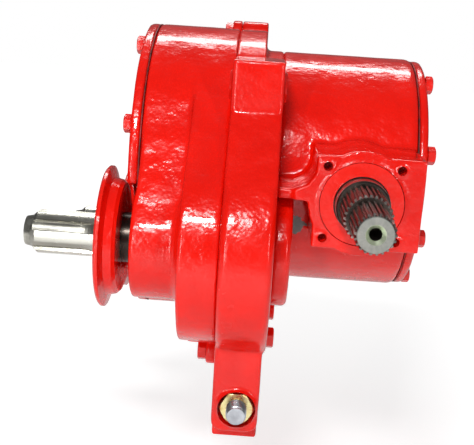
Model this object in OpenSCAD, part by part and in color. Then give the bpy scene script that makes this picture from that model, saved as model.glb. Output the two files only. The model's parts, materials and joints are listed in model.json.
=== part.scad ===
// Right angle bevel gearbox with two splined stub shafts and one splined output shaft.
// Origin: centre of the output flange face. The output shaft points along -Y, +Z is up,
// and the two stub shafts and the cross shaft lie along X.

/* [Output flange and shaft] */
// Side of the square of four tapped holes
out_bolt_square = 54; // [52:1:55]
// Radius of each tapped hole
out_hole_r = 3.4; // [3:0.1:3.6]
// Length of the splined output shaft in front of the flange
out_len = 92; // [86:1:96]
// Radius of the larger output spline
out_big_r = 17.45; // [17:0.05:18]
// Radius of the smaller output spline
out_small_r = 14; // [13:0.5:14.5]

/* [Stub shafts] */
// Radius over the splines of both stub shafts
pto_r = 17.45; // [17:0.05:17.5]
// Radius at the floor of their grooves
pto_floor_r = 14.9; // [14:0.1:15.5]
// Width of each of the six splines
pto_spline_w = 8.7; // [8:0.1:9.5]
// Radius of the dish on the near stub shaft
near_dish_r = 56; // [50:1:57]
// Radius of the dish on the far stub shaft
far_dish_r = 54; // [50:1:55]

/* [Housings] */
// Outer radius of the gear case drum round the cross shaft
case_r = 117; // [116:1:119]
// Outer radius of the bevel housing
bevel_r = 100; // [99:1:102]
// Radius of the bearing boss round the near stub shaft
boss_r = 47; // [45:1:48]
// Radius of the drum round the near spur gear
drum_r = 78; // [77:1:80]
// Radius of the arm's bulge round the near stub shaft
arm_r = 85; // [84:1:87]

/* [Arm] */
// Radius of the hanging eye
eye_r = 10.5; // [8:0.5:12]
// Radius of the counterbore round its nut
foot_bore_r = 14.8; // [14.5:0.1:15.5]

/* [Hidden] */
$fn = 96;
fit = 0.05;                    // radial running clearance of a shaft in a seal
e = 0.01;                      // overlap that joins two solids
register_r = 31;               // register in the output flange, filled by the seal carrier
foot_bolt_r = 8;
flange_half = 35;

// Gears
spur_m = 3;
cross_z = 27;
pinion_z = 18;
pair_z = 38;
bevel_m = 5;
bevel_pinion_z = 16;
crown_z = 24;
pressure = 20;
thinning = 0.25;               // how much each tooth is thinned to give backlash
bevel_face = 0.277;            // tooth length as a share of the cone distance

// Shaft axes in Y and Z
near_y = 40;
near_z = -47.5;
pair_drop = 20;
far_y = near_y + sqrt(pow(spur_m * pair_z, 2) - pow(pair_drop, 2));
far_z = near_z - pair_drop;
bevel_y = far_y;
pair_angle = atan2(pair_drop, near_y - far_y);

// Planes along X
tip_near = -258.5;
tip_far = -243;
groove_end = -212;
step_x = -199.5;
dish_x = -195.5;
cover_x0 = -179.5;
cover_x1 = -171.3;
case_x0 = -170.5;
drum_x = -131.5;
joint_x = -101.5;
seat_x = joint_x - 9;           // seat of the joint bolts on the gear case
disc_x = -77.5;
arm_x1 = -62.5;
leg_x1 = -65;
recess_x1 = -86.5;
end_x = 47.5;
end_x1 = 56;
wall = 8;
far_case_r = 66;               // gear case round the far spur gear

// One size of bearing is used throughout: bore 40, outside 62, width 12
brg_in = 20;
brg_out = 31;
brg_w = 12;
ball_r = 3.2;
race_r = 3.35;
ball_ring = 25.5;
ball_n = 12;
near_brg = [-165, -99];
far_brg = [-167, -84];
cross_brg = [-84, 34];
out_brg = [12, 58];

// Stations of the spur gears and the bevel pair
step_gear_x = -101;
step_gear_w = 14;
step_gear_x1 = step_gear_x + step_gear_w;
pair_gear_x = -128;
pair_gear_w = 20;
pair_gear_x1 = pair_gear_x + pair_gear_w;
crown_rp = bevel_m * crown_z / 2;
pinion_rp = bevel_m * bevel_pinion_z / 2;
cone_y0 = bevel_y - crown_rp;
collar_y = -13;                // front of the plain collar of the output shaft
crown_x = -pinion_rp;
crown_x0 = crown_x - 13;
crown_bore_r = 22;
clip_w = 1.6;                   // circlips and their grooves
clip_r = 18.8;
clip_out_r = 22.5;
key_w = 10;
key_top = 23.3;
key_low = 16;
shoulder_r = 23;

// Foot
leg_y = -7;
foot_x = -82;
foot_z = -166;
nut_floor = 5;
heel_y = 50;
foot_tip = -21;
foot_af = 24;
washer_t = 2.5;

// Lists of fastener places in Y and Z
function around(cy, cz, r, a) = [cy + r * cos(a), cz + r * sin(a)];
cover_pts = concat([for (a = [22.5, 67.5, 112.5, 157.5, 337.5]) around(bevel_y, 0, 108, a)],
                   [for (a = [192, 300, 345]) around(far_y, far_z, far_case_r - 3, a)]);
end_pts = [for (i = [0:7]) around(bevel_y, 0, 91, 26 + 45 * i)];
joint_pts = [around(near_y, near_z, 90.5, 270), around(far_y, far_z, 77, 292),
             around(bevel_y, 0, 123, 8), around(bevel_y, 0, 123, 66)];
side_pts = [around(near_y, near_z, 73, 262), around(near_y, near_z, 73, 298)];
screw_pts = [for (i = [0:5]) around(bevel_y, 0, 78, 60 * i)];

// ---- shared shapes ----
module xcyl(x0, x1, y, z, r) { translate([x0, y, z]) rotate([0, 90, 0]) cylinder(h = x1 - x0, r = r); }
module xcone(x0, x1, y, z, r0, r1) {
    translate([x0, y, z]) rotate([0, 90, 0]) cylinder(h = x1 - x0, r1 = r0, r2 = r1);
}
module ycyl(y0, y1, x, z, r) { translate([x, y0, z]) rotate([-90, 0, 0]) cylinder(h = y1 - y0, r = r); }
// Raises a Y-Z outline along X
module xplate(x0, x1) { translate([x0, 0, 0]) rotate([90, 0, 90]) linear_extrude(x1 - x0) children(); }
// Raises an X-Z outline along Y; the outline's second coordinate runs along -Z
module yplate(y0, y1) { translate([0, y0, 0]) rotate([-90, 0, 0]) linear_extrude(y1 - y0) children(); }
module at(y, z) { translate([y, z]) children(); }
module xring(x0, x1, y, z, r_in, r_out) {
    xplate(x0, x1) at(y, z) difference() { circle(r_out); circle(r_in); }
}
module yring(y0, y1, r_in, r_out) { yplate(y0, y1) difference() { circle(r_out); circle(r_in); } }
// Hexagon with a turned chamfer on its outer face; it stands on z = 0
module hex_head(af, h) {
    intersection() {
        cylinder(h = h, r = af / sqrt(3), $fn = 6);
        union() {
            cylinder(h = h - 1, r = af);
            translate([0, 0, h - 1]) cylinder(h = 1, r1 = af / sqrt(3), r2 = af / sqrt(3) - 1.6);
        }
    }
}
// Hexagon bolt whose head stands on z = 0 and whose shank runs down
module hex_bolt(r, length, af, h) {
    hex_head(af, h);
    translate([0, 0, -length]) cylinder(h = length + e, r = r);
}
module bolt_left(p, x, r, length, af, h) {
    translate([x, p[0], p[1]]) rotate([0, -90, 0]) hex_bolt(r, length, af, h);
}
module bolt_right(p, x, r, length, af, h) {
    translate([x, p[0], p[1]]) rotate([0, 90, 0]) hex_bolt(r, length, af, h);
}

// ---- gear outlines ----
function inv(a) = tan(a) * 180 / PI - a;
// Half the angle of a tooth at radius q, for a gear of pitch radius rp and z teeth
function half_angle(q, rp, z) =
    let (base = rp * cos(pressure), slope = acos(min(1, base / max(q, base))))
    90 / z - thinning / 2 / rp * 180 / PI + inv(pressure) - inv(slope);
function flank_radii(rp, m) = [for (t = [0:4]) rp - 1.25 * m + 2.25 * m * t / 4];
function spur_outline(m, z) =
    let (rp = m * z / 2, radii = flank_radii(rp, m))
    [for (i = [0:z - 1], side = [-1, 1], k = [0:4])
        let (q = radii[side < 0 ? k : 4 - k], a = 360 * i / z + side * half_angle(q, rp, z))
        [q * cos(a), q * sin(a)]];
// Outline of a bevel gear in the plane of its pitch circle, whose cone has its point zg away
function bevel_outline(m, z, zg) =
    let (rp = m * z / 2, cone = atan2(rp, zg), rv = rp / cos(cone), zv = z / cos(cone),
         radii = flank_radii(rv, m), back = zg + rp * tan(cone))
    [for (i = [0:z - 1], side = [-1, 1], k = [0:4])
        let (q = radii[side < 0 ? k : 4 - k],
             a = 360 * i / z + side * half_angle(q, rv, zv) / cos(cone),
             r = q * cos(cone) * zg / (back - q * sin(cone)))
        [r * cos(a), r * sin(a)]];
module spur_gear(x0, w, y, z, teeth, phase, bore) {
    xplate(x0, x0 + w) at(y, z) difference() {
        rotate(phase) polygon(spur_outline(spur_m, teeth));
        if (bore > 0) circle(bore);
    }
}
// Slot for a key on the upper side of a shaft along X
module key_box(x0, x1, y, z) {
    translate([x0, y - key_w / 2, z + key_low]) cube([x1 - x0, key_w, key_top - key_low]);
}

// ---- bearings, along X ----
module outer_ring() {
    rotate([0, 90, 0]) rotate_extrude() difference() {
        translate([27.8, 0]) square([brg_out - 27.8, brg_w]);
        translate([ball_ring, brg_w / 2]) circle(race_r, $fn = 48);
    }
}
module inner_ring() {
    rotate([0, 90, 0]) rotate_extrude() difference() {
        translate([brg_in, 0]) square([3.2, brg_w]);
        translate([ball_ring, brg_w / 2]) circle(race_r, $fn = 48);
    }
}
module cage() {
    difference() {
        translate([brg_w / 2 - 4.3, 0, 0]) rotate([0, 90, 0]) rotate_extrude()
            translate([24.3, 0]) square([2.4, 8.6]);
        for (i = [0:ball_n - 1]) rotate([360 * i / ball_n, 0, 0]) translate([brg_w / 2, 0, 22])
            cylinder(h = 7, r = ball_r + 0.2, $fn = 32);
    }
}
module balls() {
    for (i = [0:ball_n - 1]) rotate([360 * i / ball_n, 0, 0]) translate([brg_w / 2, 0, ball_ring])
        sphere(ball_r, $fn = 24);
}
module near_at(x) { translate([x, near_y, near_z]) children(); }
module far_at(x) { translate([x, far_y, far_z]) children(); }
module cross_at(x) { translate([x, bevel_y, 0]) children(); }
module output_at(y) { translate([0, y, 0]) rotate([0, 0, 90]) children(); }

// ---- gear case and its cover ----
module case_outline() {
    at(bevel_y, 0) circle(case_r);
    at(far_y, far_z) circle(far_case_r);
}
// Closes the front between the case's circle and a circle of radius r round the near shaft
module fairing(r) {
    gap = norm([bevel_y - near_y, near_z]);
    a = atan2(near_z, near_y - bevel_y) + 360 - acos((case_r - r) / gap);
    polygon([around(bevel_y, 0, case_r - 0.5, a), around(near_y, near_z, r - 0.5, a),
             [near_y, near_z], [bevel_y, 0]]);
}
module ears(pts, r) { for (p = pts) at(p[0], p[1]) circle(r); }
module gear_case() color("red") difference() {
    union() {
        difference() {
            union() {
                xplate(case_x0, joint_x) case_outline();
                xplate(case_x0 + 2, joint_x) fairing(boss_r);
                xplate(drum_x, joint_x) fairing(drum_r);
                xcyl(drum_x, joint_x, near_y, near_z, drum_r);
            }
            xcyl(case_x0 - e, joint_x + e, bevel_y, 0, case_r - 10);
            xcyl(case_x0 - e, joint_x + e, far_y, far_z, 61.5);
            xcyl(drum_x + 2, joint_x + e, near_y, near_z, drum_r - wall);
        }
        difference() {
            union() {
                xcyl(case_x0, drum_x + 2, near_y, near_z, boss_r);
                xcone(drum_x - 6, drum_x + 2, near_y, near_z, boss_r, boss_r + 8);
            }
            xcyl(drum_x - 14, drum_x + 3, near_y, near_z, boss_r - 7);
        }
        intersection() {
            xplate(case_x0, case_x0 + 18) ears(cover_pts, 9);
            xcyl(case_x0, case_x0 + 18, bevel_y, -10, 136);
        }
        xplate(seat_x, joint_x) ears(joint_pts, 11);
        xplate(joint_x - 24, joint_x) ears(side_pts, 8);
    }
    xcyl(case_x0 - e, case_x0 + 5.5, near_y, near_z, brg_out);
    xcyl(near_brg[0], drum_x + 3, near_y, near_z, brg_out);
    xcyl(case_x0, near_brg[0] + e, near_y, near_z, brg_out - 3);
    xplate(case_x0 - e, case_x0 + 16) ears(cover_pts, 4);
    xplate(seat_x - e, joint_x + e) ears(joint_pts, 5);
    xplate(seat_x - 8, seat_x) ears(joint_pts, 9.2);
    xplate(joint_x - 20, joint_x + e) ears(side_pts, 4);
}
module cover_outline() difference() {
    union() {
        case_outline();
        ears([for (i = [5:7]) cover_pts[i]], 9);
    }
    at(near_y, near_z) circle(boss_r - 3);
    ears(cover_pts, 4);
}
module case_cover() color("red") difference() {
    union() {
        xplate(cover_x0, cover_x1) cover_outline();
        xcyl(cover_x1 - e, far_brg[0] + brg_w + 1, far_y, far_z, brg_out + 6);
    }
    xcyl(far_brg[0], far_brg[0] + brg_w + 2, far_y, far_z, brg_out);
    xcyl(cover_x0 - e, far_brg[0] + e, far_y, far_z, brg_out - 3);
    xcyl(cover_x0 - e, cover_x0 + 6.5, far_y, far_z, brg_out);
}
module case_cover_gasket() color("dimgray") xplate(cover_x1, case_x0) difference() {
    cover_outline();
    difference() {
        union() {
            at(bevel_y, 0) circle(case_r - 12);
            at(far_y, far_z) circle(60);
        }
        at(near_y, near_z) circle(boss_r + 1);
        ears(cover_pts, 8);
    }
}
module case_cover_bolts() color("red") for (p = cover_pts) bolt_left(p, cover_x0, 4, 22, 13, 6);
module case_joint_bolts() color("red") for (p = joint_pts) bolt_left(p, seat_x, 5, 26, 15, 6.5);
module arm_side_bolts() color("red") for (p = side_pts) bolt_right(p, arm_x1, 4, 56, 15, 6);

// ---- centre casting with the hanging eye and the foot ----
module arm_outline() {
    polygon([[20, 98], [20, 60], [14, 52], [-20, 12.6], [near_y, near_z], [bevel_y, 0], [74, 98]]);
}
module leg_outline() {
    polygon([[leg_y, near_z], [leg_y, -186], [25, -186], [25, -206], [heel_y, -206], [heel_y, near_z]]);
}
module centre_arm() color("red") difference() {
    union() {
        xplate(joint_x, disc_x) case_outline();
        xcyl(disc_x - e, arm_x1, bevel_y, 0, bevel_r);
        xcyl(disc_x - e, far_brg[1] + brg_w + 6, far_y, far_z, brg_out + 6);
        xplate(joint_x, disc_x) ears(joint_pts, 11);
        xcone(joint_x, joint_x + 3, near_y, near_z, arm_r - 3, arm_r);
        xcyl(joint_x + 3, arm_x1 - 3, near_y, near_z, arm_r);
        xcone(arm_x1 - 3, arm_x1, near_y, near_z, arm_r, arm_r - 3);
        xplate(joint_x, arm_x1) arm_outline();
        difference() {
            xplate(joint_x, leg_x1) leg_outline();
            foot_corner(joint_x, 1);
            foot_corner(leg_x1, -1);
        }
    }
    xcyl(joint_x - e, near_brg[1] + brg_w, near_y, near_z, brg_out);
    xcyl(joint_x - e, near_brg[1] + brg_w + 6, near_y, near_z, brg_out - 3);
    xcyl(near_brg[1] + brg_w + 6, arm_x1 + e, near_y, near_z, brg_out);
    xcyl(joint_x - e, recess_x1, far_y, far_z, 34);
    xcyl(joint_x - e, far_brg[1] + brg_w, far_y, far_z, brg_out);
    xcyl(joint_x - e, far_brg[1] + brg_w + 3, far_y, far_z, brg_out - 3);
    xcyl(joint_x - e, recess_x1, bevel_y, 0, 47);
    xcyl(joint_x - e, cross_brg[0] + brg_w, bevel_y, 0, brg_out);
    xcyl(joint_x - e, arm_x1 + e, bevel_y, 0, 26);
    xcyl(joint_x - e, arm_x1 + e, 38, 78, eye_r);
    ycyl(leg_y - e, nut_floor, foot_x, foot_z, foot_bore_r);
    ycyl(leg_y - e, heel_y + e, foot_x, foot_z, foot_bolt_r + 0.5);
    xplate(joint_x - e, joint_x + 17) ears(joint_pts, 5);
    xplate(joint_x - e, arm_x1 + e) ears(side_pts, 4);
    xplate(arm_x1 - 14, arm_x1 + e) ears(screw_pts, 4);
}
// Rounds a lower corner of the front of the foot at x, on the side that s points away from
module foot_corner(x, s) {
    r = 8;
    difference() {
        translate([x - (s < 0 ? r : 0), leg_y - 1, -187]) cube([r, 33, r + 1]);
        ycyl(leg_y - 2, 27, x + s * r, -186 + r, r);
    }
}
module pto_end_cap() color("red") difference() {
    union() {
        xcyl(arm_x1, arm_x1 + 11, near_y, near_z, 46);
        xcone(arm_x1 + 11, arm_x1 + 13.5, near_y, near_z, 46, 43.5);
        xcyl(arm_x1 - 17, arm_x1 + e, near_y, near_z, brg_out);
    }
    xcyl(arm_x1 - 18, arm_x1, near_y, near_z, brg_out - 6);
    xcyl(arm_x1, arm_x1 + 20, bevel_y, 0, bevel_r + 0.4);
}

// ---- bevel housing ----
// The flange has a bulge above and below the register and flares into a rib on its left
module flange_outline() {
    translate([-flange_half, -flange_half]) square([2 * flange_half + 10, 2 * flange_half]);
    circle(39.5);
    polygon([[-flange_half, -30], [-36, -20], [-41, -12], [-50, -8], [-50, 0], [-flange_half, 0]]);
}
module bevel_housing() color("red") difference() {
    union() {
        difference() {
            union() {
                xcyl(arm_x1, end_x - 4, bevel_y, 0, bevel_r);
                xcone(end_x - 4, end_x, bevel_y, 0, bevel_r, bevel_r - 1.5);
                yplate(0, bevel_y - 60) flange_outline();
                translate([arm_x1, 2, 0]) cube([30, 66, 8]);
                ycyl(bevel_y + 80, bevel_y + 104, 0, 30, 13);
                ycyl(bevel_y + 80, bevel_y + 104, 0, -30, 13);
                drain_at() cylinder(h = 24, r = 13);
            }
            xcyl(arm_x1 + wall, end_x + e, bevel_y, 0, bevel_r - 10);
        }
        intersection() {
            xplate(end_x - 18, end_x) ears(end_pts, 9);
            xcyl(end_x - 19, end_x + 1, bevel_y, 0, bevel_r - 1.6);
        }
        ycyl(30, 74, 0, 0, brg_out + 6);
    }
    ycyl(-e, out_brg[0] + brg_w, 0, 0, register_r);
    ycyl(0, 80, 0, 0, brg_out - 3);
    ycyl(out_brg[1], 80, 0, 0, brg_out);
    for (sx = [-1, 1], sz = [-1, 1])
        ycyl(-e, 16, sx * out_bolt_square / 2, sz * out_bolt_square / 2, out_hole_r);
    xcyl(arm_x1 - e, arm_x1 + wall + e, bevel_y, 0, 26);
    xplate(end_x - 16, end_x + e) ears(end_pts, 4);
    xplate(arm_x1 - e, arm_x1 + wall + e) ears(screw_pts, 4.2);
    for (s = [-1, 1]) ycyl(bevel_y + 70, bevel_y + 105, 0, s * 30, 8);
    drain_at() translate([0, 0, -10]) cylinder(h = 40, r = 8);
}
// Frame of the drain: its axis points back and down from the bottom of the bevel housing
module drain_at() { translate([0, bevel_y, 0]) rotate([-145, 0, 0]) translate([0, 0, 80]) children(); }
module plug() {
    cylinder(h = 12 + e, r = 8);
    translate([0, 0, 12]) cylinder(h = 2, r = 12);
    translate([0, 0, 14 - e]) hex_head(17, 8);
}
module back_plug(z) { translate([0, bevel_y + 92, z]) rotate([-90, 0, 0]) plug(); }
module filler_breather() color("silver") {
    back_plug(30);
    ycyl(bevel_y + 114 - e, bevel_y + 122, 0, 30, 5);
}
module level_plug() color("silver") back_plug(-30);
module drain_plug() color("silver") drain_at() translate([0, 0, 12]) plug();
module housing_screws() color("dimgray") for (p = screw_pts) {
    xcyl(arm_x1 - 14, arm_x1 + wall + e, p[0], p[1], 4);
    difference() {
        xcyl(arm_x1 + wall, arm_x1 + wall + 7, p[0], p[1], 6.5);
        translate([arm_x1 + wall + 3, p[0], p[1]]) rotate([0, 90, 0]) cylinder(h = 5, r = 3.5, $fn = 6);
    }
}
module end_cover() color("red") difference() {
    union() {
        xcyl(end_x + 0.8, end_x1 - 2, bevel_y, 0, bevel_r - 1.5);
        xcone(end_x1 - 2, end_x1, bevel_y, 0, bevel_r - 1.5, bevel_r - 4);
        xcyl(31, end_x + 1, bevel_y, 0, 38);
    }
    xcyl(30, cross_brg[1] + brg_w, bevel_y, 0, brg_out);
    xcyl(30, cross_brg[1] + brg_w + 4, bevel_y, 0, brg_out - 5);
    xplate(end_x, end_x1 + e) ears(end_pts, 4);
}
module end_cover_gasket() color("dimgray") xplate(end_x, end_x + 0.8) difference() {
    at(bevel_y, 0) circle(bevel_r - 1.5);
    difference() {
        at(bevel_y, 0) circle(bevel_r - 12);
        ears(end_pts, 8);
    }
    ears(end_pts, 4);
}
module end_cover_bolts() color("red") for (p = end_pts) bolt_right(p, end_x1, 4, 22, 13, 6);
module seal_carrier() color("red") difference() {
    ycyl(-0.6, 9, 0, 0, register_r);
    ycyl(2, 10, 0, 0, 26);
    ycyl(-1, 10, 0, 0, brg_in + 1);
}
module output_seal() color("black") yring(2, 8.8, brg_in + fit, 26);
module near_pto_seal() color("black") xring(case_x0, case_x0 + 5.5, near_y, near_z, brg_in + fit, brg_out);
module far_pto_seal() color("black") xring(cover_x0, cover_x0 + 6.5, far_y, far_z, brg_in + fit, brg_out);

// ---- foot bolt, along Y ----
module foot_bolt() color("silver") {
    ycyl(foot_tip + 1.5 - e, heel_y + washer_t + e, foot_x, foot_z, foot_bolt_r);
    translate([foot_x, foot_tip, foot_z]) rotate([-90, 0, 0])
        cylinder(h = 1.5, r1 = foot_bolt_r - 1.2, r2 = foot_bolt_r);
    translate([foot_x, heel_y + washer_t, foot_z]) rotate([-90, 0, 0]) hex_head(foot_af, 10);
}
module foot_washer() color("silver") translate([foot_x, 0, foot_z])
    yring(heel_y, heel_y + washer_t, foot_bolt_r, 14);
module foot_nut() color("gold") translate([foot_x, nut_floor, foot_z]) rotate([90, 0, 0]) difference() {
    hex_head(foot_af, 13);
    translate([0, 0, -1]) cylinder(h = 15, r = foot_bolt_r);
}

// ---- stub shafts ----
module spline_gaps() difference() {
    circle(pto_r + 2);
    circle(pto_floor_r);
    for (i = [0:2]) rotate(60 * i + 30) square([2 * pto_r + 6, pto_spline_w], center = true);
}
// Splined end along +Z from its tip; grooves run out on a cutter's arc
module splined_end(length, floor_len) {
    cutter = 30;
    rise = pto_r + 1 - pto_floor_r;
    run = sqrt(2 * cutter * rise - rise * rise);
    difference() {
        union() {
            cylinder(h = 5, r1 = 11.6, r2 = 12.6);
            translate([0, 0, 5 - e]) cylinder(h = 5, r1 = 12.6, r2 = pto_r);
            translate([0, 0, 10 - 2 * e]) cylinder(h = length - 10, r = pto_r);
        }
        intersection() {
            translate([0, 0, -1]) linear_extrude(floor_len + run + 1) spline_gaps();
            rotate_extrude() polygon(concat([[pto_floor_r, -1], [pto_floor_r, floor_len]],
                [for (k = [1:6]) let (x = run * k / 6)
                    [pto_floor_r + cutter - sqrt(cutter * cutter - x * x), floor_len + x]],
                [[pto_r + 3, floor_len + run], [pto_r + 3, -1]]));
        }
        translate([0, 0, -e]) cylinder(h = 3, r1 = 4.5, r2 = 1.5);
    }
}
module near_pto_shaft() color("silver") difference() {
    union() {
        near_at(tip_near) rotate([0, 90, 0]) splined_end(step_x - tip_near, groove_end - tip_near);
        xcyl(step_x - e, near_brg[1] + brg_w + 1, near_y, near_z, brg_in);
        xcyl(pair_gear_x - 6, pair_gear_x, near_y, near_z, 26);
    }
    key_box(pair_gear_x + 3, pair_gear_x1 - 3, near_y, near_z);
}
module far_pto_shaft() color("silver") difference() {
    union() {
        far_at(tip_far) rotate([0, 90, 0]) splined_end(step_x - tip_far, groove_end - tip_far);
        xcyl(step_x - e, far_brg[1] + brg_w + 1, far_y, far_z, brg_in);
        spur_gear(step_gear_x, step_gear_w, far_y, far_z, pinion_z, 90 + 180 / pinion_z, 0);
        xcyl(step_gear_x1 - e, far_brg[1], far_y, far_z, shoulder_r);
    }
    key_box(pair_gear_x + 3, pair_gear_x1 - 3, far_y, far_z);
}
// Pressed dish: a rim, a cup and a hub that grips the shaft; it stands along +Z from its rim
module dish(r) {
    cup = r - 9;
    rotate_extrude() polygon([[r - 1.5, 0], [r, 1.5], [r, 3.5], [cup, 6], [cup - 1.5, 12], [cup - 4, 14.5],
                              [brg_in, 14.5], [brg_in, 5], [24, 5], [24, 11.5], [cup - 6, 11.5],
                              [cup - 3, 5], [cup - 2, 2]]);
}
module near_dish() color("red") near_at(dish_x) rotate([0, 90, 0]) dish(near_dish_r);
module far_dish() color("red") far_at(dish_x) rotate([0, 90, 0]) dish(far_dish_r);
module near_gear() color("gray") difference() {
    spur_gear(pair_gear_x, pair_gear_w, near_y, near_z, pair_z, pair_angle + 180 + 180 / pair_z, brg_in);
    key_box(pair_gear_x - 1, pair_gear_x1 + 1, near_y, near_z);
}
module far_gear() color("gray") difference() {
    spur_gear(pair_gear_x, pair_gear_w, far_y, far_z, pair_z, pair_angle, brg_in);
    key_box(pair_gear_x - 1, pair_gear_x1 + 1, far_y, far_z);
}
module near_gear_key() color("silver") key_box(pair_gear_x + 3, pair_gear_x1 - 3, near_y, near_z);
module far_gear_key() color("silver") key_box(pair_gear_x + 3, pair_gear_x1 - 3, far_y, far_z);
module near_sleeve() color("silver")
    xring(near_brg[0] + brg_w, pair_gear_x - 6, near_y, near_z, brg_in, shoulder_r);
module near_spacer() color("silver")
    xring(pair_gear_x1, near_brg[1], near_y, near_z, brg_in, shoulder_r);
module far_spacers() color("silver") {
    xring(far_brg[0] + brg_w, pair_gear_x, far_y, far_z, brg_in, shoulder_r);
    xring(pair_gear_x1, step_gear_x, far_y, far_z, brg_in, shoulder_r);
}

// ---- cross shaft and bevel pair ----
module cross_shaft() color("silver") difference() {
    union() {
        xcyl(step_gear_x - 3.5, cross_brg[1] + brg_w + 1, bevel_y, 0, brg_in);
        xcyl(cross_brg[0] + brg_w, crown_x0, bevel_y, 0, shoulder_r);
        xcyl(crown_x0 - e, cross_brg[1], bevel_y, 0, crown_bore_r);
    }
    xring(step_gear_x - clip_w, step_gear_x, bevel_y, 0, clip_r, brg_in + 1);
    key_box(step_gear_x + 2, step_gear_x1 - 2, bevel_y, 0);
    crown_key_box(crown_x0 + 3, 14);
}
module cross_gear() color("gray") difference() {
    spur_gear(step_gear_x, step_gear_w, bevel_y, 0, cross_z, 270, brg_in);
    key_box(step_gear_x - 1, step_gear_x1 + 1, bevel_y, 0);
}
module cross_gear_key() color("silver") key_box(step_gear_x + 2, step_gear_x1 - 2, bevel_y, 0);
module cross_spacer() color("silver") xring(step_gear_x1, cross_brg[0], bevel_y, 0, brg_in, shoulder_r);
module cross_circlip() color("dimgray")
    xring(step_gear_x - clip_w, step_gear_x, bevel_y, 0, clip_r, clip_out_r);
// Slot for the crown gear's key
module crown_key_box(x, length) {
    translate([x, bevel_y - key_w / 2, crown_bore_r - 4]) cube([length, key_w, 7.3]);
}
module crown_gear() color("gray") difference() {
    union() {
        translate([crown_x, bevel_y, 0]) rotate([90, 0, 90])
            linear_extrude(height = bevel_face * pinion_rp, scale = 1 - bevel_face)
                rotate(180) polygon(bevel_outline(bevel_m, crown_z, pinion_rp));
        xcyl(crown_x0, crown_x + e, bevel_y, 0, 42);
    }
    xcyl(crown_x0 - 1, crown_x + 20, bevel_y, 0, crown_bore_r);
    xcyl(crown_x + 6, crown_x + 20, bevel_y, 0, crown_bore_r + 10);
    crown_key_box(crown_x0 - 1, 34);
}
module crown_gear_key() color("silver") crown_key_box(crown_x0 + 3, 14);

// ---- output shaft, along Y ----
module fine_spline(r, floor_r, teeth) {
    polygon([for (i = [0:teeth - 1], k = [[-0.3, 0], [-0.17, 1], [0.17, 1], [0.3, 0]])
        let (a = 360 * (i + k[0]) / teeth, q = k[1] > 0 ? r : floor_r) [q * cos(a), q * sin(a)]]);
}
module output_shaft() color("dimgray") difference() {
    union() {
        intersection() {
            yplate(-out_len, -50) fine_spline(out_small_r, out_small_r - 1.5, 22);
            translate([0, -out_len, 0]) rotate([-90, 0, 0]) union() {
                cylinder(h = 3, r1 = out_small_r - 2.2, r2 = out_small_r + 0.5);
                translate([0, 0, 3 - e]) cylinder(h = 42, r = out_small_r + 0.5);
            }
        }
        intersection() {
            yplate(-50 - e, collar_y) fine_spline(out_big_r, out_big_r - 1.6, 28);
            translate([0, -51, 0]) rotate([-90, 0, 0]) union() {
                cylinder(h = 3, r1 = out_big_r - 2.4, r2 = out_big_r + 0.5);
                translate([0, 0, 3 - e]) cylinder(h = 42, r = out_big_r + 0.5);
            }
        }
        translate([0, collar_y - e, 0]) rotate([-90, 0, 0]) cylinder(h = 1.2, r1 = brg_in - 1.2, r2 = brg_in);
        ycyl(collar_y + 1, cone_y0 - 8, 0, 0, brg_in);
        translate([0, out_brg[1] + brg_w, 0]) rotate([-90, 0, 0])
            cylinder(h = cone_y0 - out_brg[1] - brg_w, r1 = 24, r2 = 34);
        translate([0, cone_y0, 0]) rotate([-90, 0, 0])
            linear_extrude(height = bevel_face * crown_rp, scale = 1 - bevel_face)
                rotate(180 + 180 / bevel_pinion_z) polygon(bevel_outline(bevel_m, bevel_pinion_z, crown_rp));
    }
    ycyl(-out_len - e, -out_len + 26, 0, 0, 4.25);
    translate([0, -out_len - e, 0]) rotate([-90, 0, 0]) cylinder(h = 2.6, r1 = 6.8, r2 = 4.2);
    yring(out_brg[0] - 0.2 - clip_w, out_brg[0] - 0.2, clip_r, brg_in + 1);
}
module output_spacer() color("silver") yring(out_brg[0] + brg_w, out_brg[1], brg_in, shoulder_r);
module output_circlip() color("dimgray")
    yring(out_brg[0] - 0.2 - clip_w, out_brg[0] - 0.2, clip_r, clip_out_r);

// ---- bearing groups ----
module bearing_outer_rings() color("silver") {
    for (x = near_brg) near_at(x) outer_ring();
    for (x = far_brg) far_at(x) outer_ring();
    for (x = cross_brg) cross_at(x) outer_ring();
    for (y = out_brg) output_at(y) outer_ring();
}
module near_inner_rings() color("silver") for (x = near_brg) near_at(x) inner_ring();
module far_inner_rings() color("silver") for (x = far_brg) far_at(x) inner_ring();
module cross_inner_rings() color("silver") for (x = cross_brg) cross_at(x) inner_ring();
module output_inner_rings() color("silver") for (y = out_brg) output_at(y) inner_ring();
module near_cages() color("goldenrod") for (x = near_brg) near_at(x) cage();
module far_cages() color("goldenrod") for (x = far_brg) far_at(x) cage();
module cross_cages() color("goldenrod") for (x = cross_brg) cross_at(x) cage();
module output_cages() color("goldenrod") for (y = out_brg) output_at(y) cage();
module near_balls() color("white") for (x = near_brg) near_at(x) balls();
module far_balls() color("white") for (x = far_brg) far_at(x) balls();
module cross_balls() color("white") for (x = cross_brg) cross_at(x) balls();
module output_balls() color("white") for (y = out_brg) output_at(y) balls();

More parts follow.
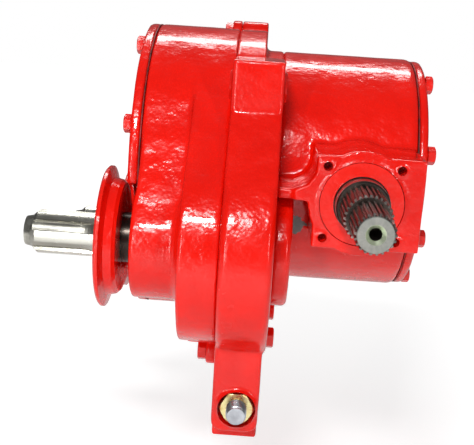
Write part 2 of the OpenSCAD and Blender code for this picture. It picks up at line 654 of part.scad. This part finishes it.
gear_case();
centre_arm();
case_cover();
case_cover_gasket();
case_cover_bolts();
case_joint_bolts();
arm_side_bolts();
bevel_housing();
housing_screws();
end_cover();
end_cover_gasket();
end_cover_bolts();
pto_end_cap();
seal_carrier();
output_seal();
near_pto_seal();
far_pto_seal();
filler_breather();
level_plug();
drain_plug();
foot_bolt();
foot_washer();
foot_nut();
near_pto_shaft();
near_dish();
near_gear();
near_gear_key();
near_sleeve();
near_spacer();
far_pto_shaft();
far_dish();
far_gear();
far_gear_key();
far_spacers();
cross_shaft();
cross_gear();
cross_gear_key();
cross_spacer();
cross_circlip();
crown_gear();
crown_gear_key();
output_shaft();
output_spacer();
output_circlip();
bearing_outer_rings();
near_inner_rings();
far_inner_rings();
cross_inner_rings();
output_inner_rings();
near_cages();
far_cages();
cross_cages();
output_cages();
near_balls();
far_balls();
cross_balls();
output_balls();
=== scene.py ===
"""Looks of the right angle bevel gearbox: cast, painted housings round the fixed CAD frame."""
import json
import math

import bmesh
import bpy
import numpy as np
from mathutils import Matrix, Vector, noise


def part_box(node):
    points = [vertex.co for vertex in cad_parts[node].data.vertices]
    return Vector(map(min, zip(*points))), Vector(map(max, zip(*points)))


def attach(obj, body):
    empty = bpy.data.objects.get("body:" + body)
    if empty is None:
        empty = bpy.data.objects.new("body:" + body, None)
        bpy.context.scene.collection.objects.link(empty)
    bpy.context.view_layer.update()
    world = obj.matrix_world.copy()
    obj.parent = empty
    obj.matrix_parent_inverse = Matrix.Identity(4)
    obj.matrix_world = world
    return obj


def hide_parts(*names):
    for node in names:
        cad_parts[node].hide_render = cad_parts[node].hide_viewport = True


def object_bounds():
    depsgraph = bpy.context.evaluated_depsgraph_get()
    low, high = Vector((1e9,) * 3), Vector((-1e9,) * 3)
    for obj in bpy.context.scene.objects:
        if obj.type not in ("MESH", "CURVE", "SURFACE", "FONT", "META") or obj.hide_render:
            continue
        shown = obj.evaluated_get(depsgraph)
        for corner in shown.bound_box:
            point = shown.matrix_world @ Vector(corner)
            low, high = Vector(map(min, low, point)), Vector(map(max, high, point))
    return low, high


MM = 0.001

# How the castings are made from their CAD nodes
VOXEL = 1.5 * MM
PLUG_INSET = 1.5 * MM   # a plug is shorter than its bored hole by this much at each end
PLUG_MARGIN = 0.3 * MM  # and its radius is larger by this much
SMOOTHING = 0.5
KEPT_SHARE = 0.35       # of the triangles, after thinning
WELD = 1e-6
SKIN_WAVE = 0.18 * MM   # height of the slow unevenness, with a finer one added to it
SKIN_SCALES = (38, 130)
FINE_SHARE = 0.35
FINE_SHIFT = Vector((7, 3, 1))
CAST_CREASE = math.radians(48)
PIECE_CREASE = math.radians(35)
SIDES = 96

# Bored holes of the castings: both ends along their axis and the radius, in millimetres
TAPPED_SPAN = (-3, 16)
REGISTER_BORE = (-3, 9.5, 31.5)
EYE_BORE = (-106, -58, 10.5)
NUT_RECESS = (-12, 5, 14.8)
NEAR_SEAL_BORE = (-174, -165, 31)
FAR_SEAL_BORE = (-183, -173, 31)

# The foot bolt
THREAD_R = 7.95 * MM
THREAD_PITCH = 2 * MM
THREAD_DEPTH = 0.9 * MM
THREAD_LENGTH = 30 * MM
LEAD_IN = 1.6 * MM      # length of the pointed end, and how much thinner its tip is
LEAD_DROP = 1.1 * MM
SHANK_R = 7.9 * MM
SHANK_OVERLAP = 1 * MM
HEAD_FLATS = 24 * MM
HEAD_HEIGHT = 10 * MM
HEAD_CHAMFER = 1.4 * MM
BOLT_SIDES = 72

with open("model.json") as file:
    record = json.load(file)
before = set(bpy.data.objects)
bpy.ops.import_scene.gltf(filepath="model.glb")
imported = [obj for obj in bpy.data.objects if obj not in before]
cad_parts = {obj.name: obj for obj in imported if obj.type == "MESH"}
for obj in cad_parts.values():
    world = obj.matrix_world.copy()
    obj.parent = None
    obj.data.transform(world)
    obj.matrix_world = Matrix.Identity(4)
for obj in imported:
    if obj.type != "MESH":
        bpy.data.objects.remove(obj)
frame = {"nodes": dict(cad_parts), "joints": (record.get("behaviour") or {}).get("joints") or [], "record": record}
cad_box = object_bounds()
nodes = frame["nodes"]

# Axes of the shafts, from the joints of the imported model, in metres
JOINT_AT = {j["name"]: Vector(j["pos_m"]) for j in frame["joints"]}
NEAR = JOINT_AT["near_pto_spin"]
FAR = JOINT_AT["far_pto_spin"]
MOUNTS = {m["name"]: m for m in frame["record"]["mounts"]}
FOOT = Vector(MOUNTS["foot_bolt_end"]["pos_m"])
EYE = Vector(MOUNTS["hanging_eye"]["pos_m"])

# The ragged spot beside the flange that is coloured dark grey
GREY_SPOT_AT = (-0.050, 0.050, -0.034)
GREY_SPOT_RADIUS = 0.022     # times noise, plus GREY_SPOT_CORE
GREY_SPOT_CORE = 0.002

# Camera and floor
DISTANCE = 0.70
PITCH = math.radians(13.55)
ROLL = math.radians(3.65)
YAW = math.radians(-1.3)
TARGET = Vector((-91.7, 40, -29.6)) * MM
LENS = 67.35
FLOOR_DROP = 0.16
FLOOR_HALF = 6
FLOOR_DIM = 0.30        # share of the floor's and the world's glow that lights the object
WORLD_DIM = 0.12


# ---- camera, floor and light ----
def make_camera():
    """Looks along +Y, pitched down and rolled a little, from close enough for the photo's perspective"""
    level = math.cos(PITCH)
    forward = Vector((math.sin(YAW) * level, math.cos(YAW) * level, -math.sin(PITCH)))
    side = Vector((math.cos(YAW), -math.sin(YAW), 0))
    up = side.cross(forward)
    right = side * math.cos(ROLL) + up * math.sin(ROLL)
    up = up * math.cos(ROLL) - side * math.sin(ROLL)
    data = bpy.data.cameras.new("camera")
    data.sensor_width = 36
    data.lens = LENS
    data.clip_start = 0.05
    data.clip_end = 50
    camera = bpy.data.objects.new("camera", data)
    turn = Matrix((right, up, -forward)).transposed().to_4x4()
    camera.matrix_world = Matrix.Translation(TARGET - forward * DISTANCE) @ turn
    bpy.context.scene.collection.objects.link(camera)
    bpy.context.scene.camera = camera


def make_floor():
    mesh = bpy.data.meshes.new("floor")
    bm = bmesh.new()
    bmesh.ops.create_grid(bm, x_segments=1, y_segments=1, size=FLOOR_HALF)
    bm.to_mesh(mesh)
    bm.free()
    floor = bpy.data.objects.new("floor", mesh)
    floor.location = (0, 0, cad_box[0][2] - FLOOR_DROP)
    bpy.context.scene.collection.objects.link(floor)
    mesh.materials.append(floor_white())


def floor_white():
    """White paper whose own glow grows with distance, so that it meets the white background"""
    m = Mat("floor_white", roughness=0.9)
    m.set("Base Color", (0.9, 0.9, 0.9, 1))
    m.set("Emission Color", (1, 1, 1, 1))
    away = m.node("ShaderNodeVectorMath", operation="LENGTH")
    m.link(m.coord, away.inputs[0])
    glow = m.node("ShaderNodeMapRange")
    for name, value in (("From Min", 0.4), ("From Max", 2.2), ("To Min", 0.42), ("To Max", 0.97)):
        glow.inputs[name].default_value = value
    m.link(away.outputs["Value"], glow.inputs["Value"])
    seen = camera_level(m.tree, FLOOR_DIM)
    m.feed("Emission Strength", m.math("MULTIPLY", glow.outputs["Result"], seen))
    return m.mat


def camera_level(tree, dim):
    """One where the camera sees the light itself, and dim where it only lights the object"""
    rays = tree.nodes.new("ShaderNodeLightPath")
    level = tree.nodes.new("ShaderNodeMapRange")
    level.inputs["To Min"].default_value = dim
    level.inputs["To Max"].default_value = 1.0
    tree.links.new(rays.outputs["Is Camera Ray"], level.inputs["Value"])
    return level.outputs["Result"]


def soft_box(name, place, aim, width, height, watts):
    data = bpy.data.lights.new(name, "AREA")
    data.shape = "RECTANGLE"
    data.size = width
    data.size_y = height
    data.energy = watts
    light = bpy.data.objects.new(name, data)
    light.location = place
    light.rotation_euler = (Vector(aim) - Vector(place)).to_track_quat("-Z", "Y").to_euler()
    bpy.context.scene.collection.objects.link(light)


def studio_air(tree):
    """White where the background is seen, and a dim room where it only lights the object"""
    back = tree.nodes["Background"]
    back.inputs["Color"].default_value = (1, 1, 1, 1)
    tree.links.new(camera_level(tree, WORLD_DIM), back.inputs["Strength"])


def make_light():
    centre = Vector((-0.1, 0.06, -0.02))
    soft_box("top_box", (-0.1, 0.95, 1.15), centre, 1.0, 0.20, 9)
    soft_box("key_box", (-0.30, -1.20, 0.95), centre, 0.30, 0.14, 15)
    soft_box("left_strip", (-0.55, -1.25, 0.10), centre, 0.06, 0.7, 4)
    soft_box("right_strip", (0.60, -1.15, 0.30), centre, 0.05, 0.6, 3)
    world = bpy.data.worlds.new("studio")
    world.use_nodes = True
    studio_air(world.node_tree)
    bpy.context.scene.world = world
    bpy.context.scene.view_settings.view_transform = "Standard"


# ---- materials ----
class Mat:
    """A node material with a Principled shader and a few short ways to feed it."""

    def __init__(self, name, metallic=0.0, roughness=0.5):
        self.mat = bpy.data.materials.new(name)
        self.mat.use_nodes = True
        self.tree = self.mat.node_tree
        self.shader = self.tree.nodes["Principled BSDF"]
        self.shader.inputs["Metallic"].default_value = metallic
        self.shader.inputs["Roughness"].default_value = roughness
        self.coord = self.node("ShaderNodeTexCoord").outputs["Object"]

    def node(self, kind, **values):
        made = self.tree.nodes.new(kind)
        for key, value in values.items():
            setattr(made, key, value)
        return made

    def link(self, a, b):
        self.tree.links.new(a, b)

    def noise(self, scale, detail=3, stretch=(1, 1, 1), roughness=0.55):
        space = self.node("ShaderNodeMapping")
        space.inputs["Scale"].default_value = stretch
        self.link(self.coord, space.inputs["Vector"])
        tex = self.node("ShaderNodeTexNoise")
        tex.inputs["Scale"].default_value = scale
        tex.inputs["Detail"].default_value = detail
        tex.inputs["Roughness"].default_value = roughness
        self.link(space.outputs["Vector"], tex.inputs["Vector"])
        return tex.outputs["Fac"]

    def ramp(self, fac, stops):
        """stops is a list of (position, grey or colour)"""
        made = self.node("ShaderNodeValToRGB")
        ramp = made.color_ramp
        while len(ramp.elements) < len(stops):
            ramp.elements.new(1)
        for element, (place, value) in zip(ramp.elements, stops):
            element.position = place
            rgb = value if isinstance(value, tuple) else (value, value, value)
            element.color = (*rgb, 1)
        self.link(fac, made.inputs["Fac"])
        return made.outputs["Color"]

    def mix(self, fac, a, b):
        made = self.node("ShaderNodeMix", data_type="RGBA")
        sockets = {"Factor": made.inputs[0], "A": made.inputs[6], "B": made.inputs[7]}
        for key, value in (("Factor", fac), ("A", a), ("B", b)):
            if isinstance(value, tuple):
                sockets[key].default_value = (*value, 1)
            elif isinstance(value, float):
                sockets[key].default_value = value
            else:
                self.link(value, sockets[key])
        return made.outputs[2]

    def math(self, operation, a, b=0.0):
        made = self.node("ShaderNodeMath", operation=operation)
        for socket, value in zip(made.inputs, (a, b)):
            if isinstance(value, float):
                socket.default_value = value
            else:
                self.link(value, socket)
        return made.outputs[0]

    def bump(self, height, distance, strength=1.0):
        """Adds one layer of bump under those already there"""
        made = self.node("ShaderNodeBump")
        made.inputs["Strength"].default_value = strength
        made.inputs["Distance"].default_value = distance
        self.link(height, made.inputs["Height"])
        normal = self.shader.inputs["Normal"]
        if normal.is_linked:
            self.link(normal.links[0].from_socket, made.inputs["Normal"])
        self.link(made.outputs["Normal"], normal)

    def edge_wear_and_highlight(self, low=0.53, high=0.60):
        """White where the surface is a convex edge: rubbed wear on the metals, a painted highlight on the red
        paint
        """
        geometry = self.node("ShaderNodeNewGeometry")
        return self.ramp(geometry.outputs["Pointiness"], [(low, 0.0), (high, 1.0)])

    def set(self, name, value):
        self.shader.inputs[name].default_value = value

    def feed(self, name, output):
        self.link(output, self.shader.inputs[name])


def grey_spot_mask(m):
    """White on the ragged spot beside the flange, which is coloured dark grey"""
    offset = m.node("ShaderNodeVectorMath", operation="SUBTRACT")
    m.link(m.coord, offset.inputs[0])
    offset.inputs[1].default_value = GREY_SPOT_AT
    away = m.node("ShaderNodeVectorMath", operation="LENGTH")
    m.link(offset.outputs["Vector"], away.inputs[0])
    ragged = m.math("MULTIPLY_ADD", m.noise(110, 4), GREY_SPOT_RADIUS)
    ragged.node.inputs[2].default_value = GREY_SPOT_CORE
    return m.math("LESS_THAN", away.outputs["Value"], ragged)


def red_paint():
    """Glossy enamel over a casting: waves, fine orange peel, and a painted highlight of lighter red on the edges
    """
    m = Mat("red_paint")
    tint = m.ramp(m.noise(14, 4), [(0.3, (0.70, 0.005, 0.001)), (0.7, (0.90, 0.008, 0.002))])
    # painted highlight: convex edges are coloured a lighter red, as if they caught the light
    painted = m.mix(m.edge_wear_and_highlight(0.54, 0.66), tint, (0.92, 0.016, 0.008))
    m.feed("Base Color", m.mix(grey_spot_mask(m), painted, (0.17, 0.165, 0.155)))
    m.feed("Roughness", m.ramp(m.noise(60, 4), [(0.35, 0.16), (0.7, 0.30)]))
    m.set("Specular IOR Level", 0.32)
    m.set("Coat Weight", 0.4)
    m.set("Coat Roughness", 0.04)
    m.bump(m.noise(55, 3), 0.0030, 0.6)
    m.bump(m.noise(420, 3), 0.00025, 0.6)
    return m.mat


def metal(name, dark, light, rough, grain=(1, 1, 1), scale=120, bump=0.00008):
    """Bare or plated metal with grain stretched along one axis and brighter rubbed edges"""
    m = Mat(name, metallic=1.0)
    patches = m.noise(scale, 5, grain)
    m.feed("Base Color", m.mix(m.edge_wear_and_highlight(), m.ramp(patches, [(0.3, dark), (0.7, light)]),
                               tuple(min(1.0, c * 1.25) for c in light)))
    m.feed("Roughness", m.ramp(m.noise(scale * 0.4, 4), [(0.3, rough * 0.75), (0.75, rough * 1.35)]))
    m.bump(m.noise(scale * 8, 3, grain), bump, 0.6)
    return m


def stub_steel(dish):
    """Ground bright steel outside the dishes, with painted shade behind them, past x = dish, where the shaft is
    coloured nearly black as if in the dish's shadow
    """
    m = metal("bright_stub_steel", (0.32, 0.31, 0.27), (0.60, 0.59, 0.53), 0.24, (0.12, 1, 1))
    split = m.node("ShaderNodeSeparateXYZ")
    m.link(m.coord, split.inputs[0])
    # painted shade: past the dish the shaft is coloured nearly black, standing in for the shadow between the dish
    # and the case
    behind = m.math("GREATER_THAN", split.outputs["X"], dish - 0.002)
    tone = m.shader.inputs["Base Color"].links[0].from_socket
    m.feed("Base Color", m.mix(behind, tone, (0.055, 0.045, 0.038)))
    return m.mat


def output_steel(tip):
    """Dark oiled steel whose end face, at y = tip, is bare and a little green"""
    m = Mat("dark_output_steel", metallic=1.0)
    split = m.node("ShaderNodeSeparateXYZ")
    m.link(m.coord, split.inputs[0])
    face = m.math("LESS_THAN", split.outputs["Y"], tip + 0.0006)
    barrel = m.ramp(m.noise(90, 5, (1, 0.15, 1)),
                    [(0.3, (0.055, 0.042, 0.036)), (0.72, (0.16, 0.13, 0.115))])
    bare = m.ramp(m.noise(300, 5), [(0.3, (0.20, 0.225, 0.20)), (0.7, (0.34, 0.37, 0.33))])
    tone = m.mix(face, barrel, bare)
    round_axis = m.math("SQRT", m.math("ADD", m.math("POWER", split.outputs["X"], 2.0),
                                       m.math("POWER", split.outputs["Z"], 2.0)))
    sink = m.math("MULTIPLY", m.math("LESS_THAN", round_axis, 0.0069),
                  m.math("LESS_THAN", split.outputs["Y"], tip + 0.0026))
    tone = m.mix(sink, tone, (0.62, 0.68, 0.52))
    m.feed("Base Color", m.mix(m.edge_wear_and_highlight(0.53, 0.60), tone, (0.62, 0.58, 0.54)))
    m.feed("Roughness", m.ramp(m.noise(70, 4), [(0.3, 0.30), (0.75, 0.48)]))
    m.bump(m.noise(900, 3, (1, 0.1, 1)), 0.00008, 0.6)
    return m.mat


def yellow_zinc():
    m = Mat("yellow_zinc", metallic=1.0)
    film = m.ramp(m.noise(130, 3), [(0.25, (0.42, 0.32, 0.05)), (0.45, (0.70, 0.46, 0.07)),
                                    (0.6, (0.62, 0.26, 0.12)), (0.78, (0.40, 0.40, 0.12))])
    m.feed("Base Color", m.mix(m.edge_wear_and_highlight(), film, (0.95, 0.82, 0.42)))
    m.feed("Roughness", m.ramp(m.noise(200, 3), [(0.3, 0.22), (0.7, 0.38)]))
    m.bump(m.noise(900, 2), 0.00006, 0.5)
    return m.mat


def rubber():
    m = Mat("seal_rubber")
    m.feed("Base Color", m.ramp(m.noise(150, 4),
                                [(0.3, (0.018, 0.014, 0.012)), (0.7, (0.05, 0.040, 0.034))]))
    m.feed("Roughness", m.ramp(m.noise(90, 3), [(0.3, 0.45), (0.7, 0.68)]))
    m.bump(m.noise(700, 3), 0.00012, 0.6)
    return m.mat


def painted_gasket():
    """Gasket edge that was painted over with the housings, with a little bare paper left"""
    m = Mat("gasket_paper")
    m.feed("Base Color", m.ramp(m.noise(90, 5),
                                [(0.35, (0.05, 0.008, 0.006)), (0.6, (0.34, 0.006, 0.004))]))
    m.feed("Roughness", m.ramp(m.noise(120, 3), [(0.3, 0.45), (0.7, 0.8)]))
    m.bump(m.noise(1200, 3), 0.0001, 0.7)
    return m.mat


# ---- meshes ----
def across(axis):
    """Two unit vectors square to axis"""
    helper = Vector((0, 0, 1)) if abs(axis.z) < 0.9 else Vector((1, 0, 0))
    u = axis.cross(helper).normalized()
    return u, axis.cross(u).normalized()


def add_cylinder(bm, start, end, radius):
    """A closed cylinder, in metres"""
    start, end = Vector(start), Vector(end)
    u, v = across((end - start).normalized())
    rings = []
    for centre in (start, end):
        rings.append([bm.verts.new(centre + (u * math.cos(a) + v * math.sin(a)) * radius)
                      for a in (2 * math.pi * i / SIDES for i in range(SIDES))])
    join_rings(bm, rings)
    bm.faces.new(list(reversed(rings[0])))
    bm.faces.new(rings[1])


def join_rings(bm, rings):
    """One band of faces between each ring and the next"""
    for a, b in zip(rings, rings[1:]):
        for i in range(len(a)):
            j = (i + 1) % len(a)
            bm.faces.new((a[i], a[j], b[j], b[i]))


def new_piece(name, bm, body, material):
    bmesh.ops.recalc_face_normals(bm, faces=bm.faces)
    mesh = bpy.data.meshes.new(name)
    bm.to_mesh(mesh)
    bm.free()
    for face in mesh.polygons:
        face.use_smooth = True
    mesh.set_sharp_from_angle(angle=PIECE_CREASE)
    mesh.materials.append(material)
    piece = bpy.data.objects.new(name, mesh)
    bpy.context.scene.collection.objects.link(piece)
    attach(piece, body)
    return piece


def evaluated_mesh(obj):
    graph = bpy.context.evaluated_depsgraph_get()
    return bpy.data.meshes.new_from_object(obj.evaluated_get(graph), depsgraph=graph)


def apply_modifiers(obj):
    mesh = evaluated_mesh(obj)
    obj.modifiers.clear()
    old = obj.data
    obj.data = mesh
    bpy.data.meshes.remove(old)


def cylinders_object(name, holes):
    bm = bmesh.new()
    for start, end, radius in holes:
        add_cylinder(bm, start, end, radius)
    bmesh.ops.recalc_face_normals(bm, faces=bm.faces)
    mesh = bpy.data.meshes.new(name)
    bm.to_mesh(mesh)
    bm.free()
    obj = bpy.data.objects.new(name, mesh)
    bpy.context.scene.collection.objects.link(obj)
    return obj


def casting(name, node, holes, material, rounds=7):
    """A cast version of a CAD node: fillets in every corner, an uneven skin and cleanly bored holes.

    Each hole is (start, end, radius). It is plugged before the edges are rounded and bored again after.
    A plug that reaches past the casting's face leaves a soft raised rim round the hole.
    """
    bm = bmesh.new()
    bm.from_mesh(nodes[node].data)
    bmesh.ops.remove_doubles(bm, verts=bm.verts, dist=WELD)
    for start, end, radius in holes:
        inset = (Vector(end) - Vector(start)).normalized() * PLUG_INSET
        add_cylinder(bm, Vector(start) + inset, Vector(end) - inset, radius + PLUG_MARGIN)
    mesh = bpy.data.meshes.new(name)
    bm.to_mesh(mesh)
    bm.free()
    piece = bpy.data.objects.new(name, mesh)
    bpy.context.scene.collection.objects.link(piece)
    remesh = piece.modifiers.new("remesh", "REMESH")
    remesh.mode = "VOXEL"
    remesh.voxel_size = VOXEL
    smooth = piece.modifiers.new("smooth", "SMOOTH")
    smooth.factor = SMOOTHING
    smooth.iterations = rounds
    apply_modifiers(piece)
    roughen(piece.data)
    thin = piece.modifiers.new("thin", "DECIMATE")
    thin.ratio = KEPT_SHARE
    apply_modifiers(piece)
    if holes:
        bore(piece, holes)
    for face in piece.data.polygons:
        face.use_smooth = True
    piece.data.set_sharp_from_angle(angle=CAST_CREASE)
    piece.data.materials.clear()
    piece.data.materials.append(material)
    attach(piece, "root")
    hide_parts(node)


def roughen(mesh):
    """Moves each point along its normal by slow and fast noise, as a sand-cast skin has"""
    points = np.empty(len(mesh.vertices) * 3, np.float32)
    normals = np.empty_like(points)
    mesh.vertices.foreach_get("co", points)
    mesh.vertex_normals.foreach_get("vector", normals)
    points = points.reshape(-1, 3)
    slow, fine = SKIN_SCALES
    lift = [noise.noise(Vector(p) * slow) + FINE_SHARE * noise.noise(Vector(p) * fine + FINE_SHIFT)
            for p in points.tolist()]
    points += normals.reshape(-1, 3) * (np.array(lift, np.float32)[:, None] * SKIN_WAVE)
    mesh.vertices.foreach_set("co", points.ravel())
    mesh.update()


def bore(piece, holes):
    """Cuts all the holes in one exact boolean"""
    cutter = cylinders_object("cutter", holes)
    cut = piece.modifiers.new("bore", "BOOLEAN")
    cut.operation = "DIFFERENCE"
    cut.solver = "EXACT"
    cut.object = cutter
    apply_modifiers(piece)
    bpy.data.objects.remove(cutter)


def x_hole(bored, at):
    x0, x1, radius = bored
    return ((x0 * MM, at.y, at.z), (x1 * MM, at.y, at.z), radius * MM)


def y_hole(bored, x, z):
    y0, y1, radius = bored
    return ((x, y0 * MM, z), (x, y1 * MM, z), radius * MM)


def cast_pieces(paint):
    """The two castings, the arm and the three covers, all in red"""
    half = MOUNTS["output_flange_bolts"]["dims"]["spacing_x_mm"] / 2 * MM
    hole_r = MOUNTS["output_flange_bolts"]["dims"]["hole_r_mm"]
    tapped = [y_hole((*TAPPED_SPAN, hole_r), sx * half, sz * half) for sx in (-1, 1) for sz in (-1, 1)]
    casting("bevel_housing_cast", "bevel_housing", tapped + [y_hole(REGISTER_BORE, 0, 0)], paint)
    casting("centre_arm_cast", "centre_arm",
            [x_hole(EYE_BORE, EYE), y_hole(NUT_RECESS, FOOT.x, FOOT.z)], paint)
    casting("gear_case_cast", "gear_case", [x_hole(NEAR_SEAL_BORE, NEAR)], paint)
    casting("case_cover_cast", "case_cover", [x_hole(FAR_SEAL_BORE, FAR)], paint, rounds=4)
    casting("end_cover_cast", "end_cover", [], paint, rounds=4)
    casting("pto_end_cap_cast", "pto_end_cap", [], paint, rounds=4)


def threaded_rod(bm, x, z, y0, y1):
    """A rod along Y with a helical thread and a flat, chamfered end at y0"""
    per_turn = 8
    rows = int((y1 - y0) / THREAD_PITCH * per_turn) + 1
    rings = []
    for row in range(rows + 1):
        y = y0 + (y1 - y0) * row / rows
        lead = min(1.0, (y - y0) / LEAD_IN)
        ring = []
        for i in range(BOLT_SIDES):
            turn = i / BOLT_SIDES
            phase = ((y - y0) / THREAD_PITCH + turn) % 1.0
            crest = 1 - abs(2 * phase - 1)
            groove = max(0.0, min(1.0, 1.25 * crest - 0.125))
            r = THREAD_R - THREAD_DEPTH * groove * (0.35 + 0.65 * lead)
            r -= (1 - lead) * LEAD_DROP
            a = 2 * math.pi * turn
            ring.append(bm.verts.new((x + r * math.cos(a), y, z + r * math.sin(a))))
        rings.append(ring)
    join_rings(bm, rings)
    bm.faces.new(rings[0])
    bm.faces.new(list(reversed(rings[-1])))


def hex_prism(bm, centre, axis, across_flats, height, chamfer):
    """A hexagon standing on centre along axis, with its outer corners turned off"""
    u, v = across(axis)
    corner = across_flats / math.sqrt(3)
    flat = math.cos(math.pi / 6)
    rings = []
    levels = ((0, corner), (height - chamfer, corner),
              (height - chamfer * 0.5, corner - chamfer * 0.7), (height, corner - chamfer * 1.9))
    for level, limit in levels:
        ring = []
        for i in range(BOLT_SIDES):
            a = 2 * math.pi * i / BOLT_SIDES
            hex_r = corner * flat / math.cos((a + math.pi / 6) % (math.pi / 3) - math.pi / 6)
            r = min(hex_r, limit)
            ring.append(bm.verts.new(centre + axis * level + (u * math.cos(a) + v * math.sin(a)) * r))
        rings.append(ring)
    join_rings(bm, rings)
    bm.faces.new(list(reversed(rings[0])))
    bm.faces.new(rings[-1])


def foot_bolt(material):
    """The bolt through the foot, with a real thread where it stands out of the nut"""
    low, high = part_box("foot_bolt")
    back = high.y - HEAD_HEIGHT
    thread_end = low.y + THREAD_LENGTH
    bm = bmesh.new()
    threaded_rod(bm, FOOT.x, FOOT.z, low.y, thread_end)
    add_cylinder(bm, (FOOT.x, thread_end - SHANK_OVERLAP, FOOT.z), (FOOT.x, back, FOOT.z), SHANK_R)
    hex_prism(bm, Vector((FOOT.x, back, FOOT.z)), Vector((0, 1, 0)), HEAD_FLATS, HEAD_HEIGHT, HEAD_CHAMFER)
    piece = new_piece("foot_bolt_threaded", bm, "root", material)
    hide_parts("foot_bolt")


# ---- build ----
make_camera()
make_floor()
make_light()

RED = red_paint()
BRIGHT = stub_steel(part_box("near_dish")[1].x)
DARK = metal("dark_steel", (0.07, 0.06, 0.055), (0.19, 0.17, 0.15), 0.38).mat
GEAR = metal("gear_steel", (0.26, 0.26, 0.27), (0.44, 0.44, 0.44), 0.30).mat
BEARING = metal("bearing_steel", (0.60, 0.60, 0.60), (0.78, 0.78, 0.78), 0.10, scale=200).mat
CAGE = metal("cage_brass", (0.50, 0.34, 0.12), (0.74, 0.55, 0.24), 0.28).mat
ZINC = metal("zinc_plate", (0.30, 0.32, 0.35), (0.60, 0.62, 0.66), 0.30, scale=160).mat
YELLOW = yellow_zinc()
SEAL = rubber()
PAPER = painted_gasket()
OUTPUT = output_steel(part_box("output_shaft")[0].y)

BY_SLOT = {"red_paint": RED, "bright_steel": BRIGHT, "dark_steel": DARK, "gear_steel": GEAR,
           "bearing_steel": BEARING, "cage_brass": CAGE, "zinc_plate": ZINC, "yellow_zinc": YELLOW,
           "seal_rubber": SEAL, "gasket_paper": PAPER}


def dress_cad_nodes():
    """Gives every CAD node that stays visible the material of its slot"""
    for part in frame["record"]["subparts"]:
        material = OUTPUT if part["node"] == "output_shaft" else BY_SLOT[part["material_slot"]]
        for slot in nodes[part["node"]].material_slots:
            slot.material = material


dress_cad_nodes()
cast_pieces(RED)
foot_bolt(ZINC)
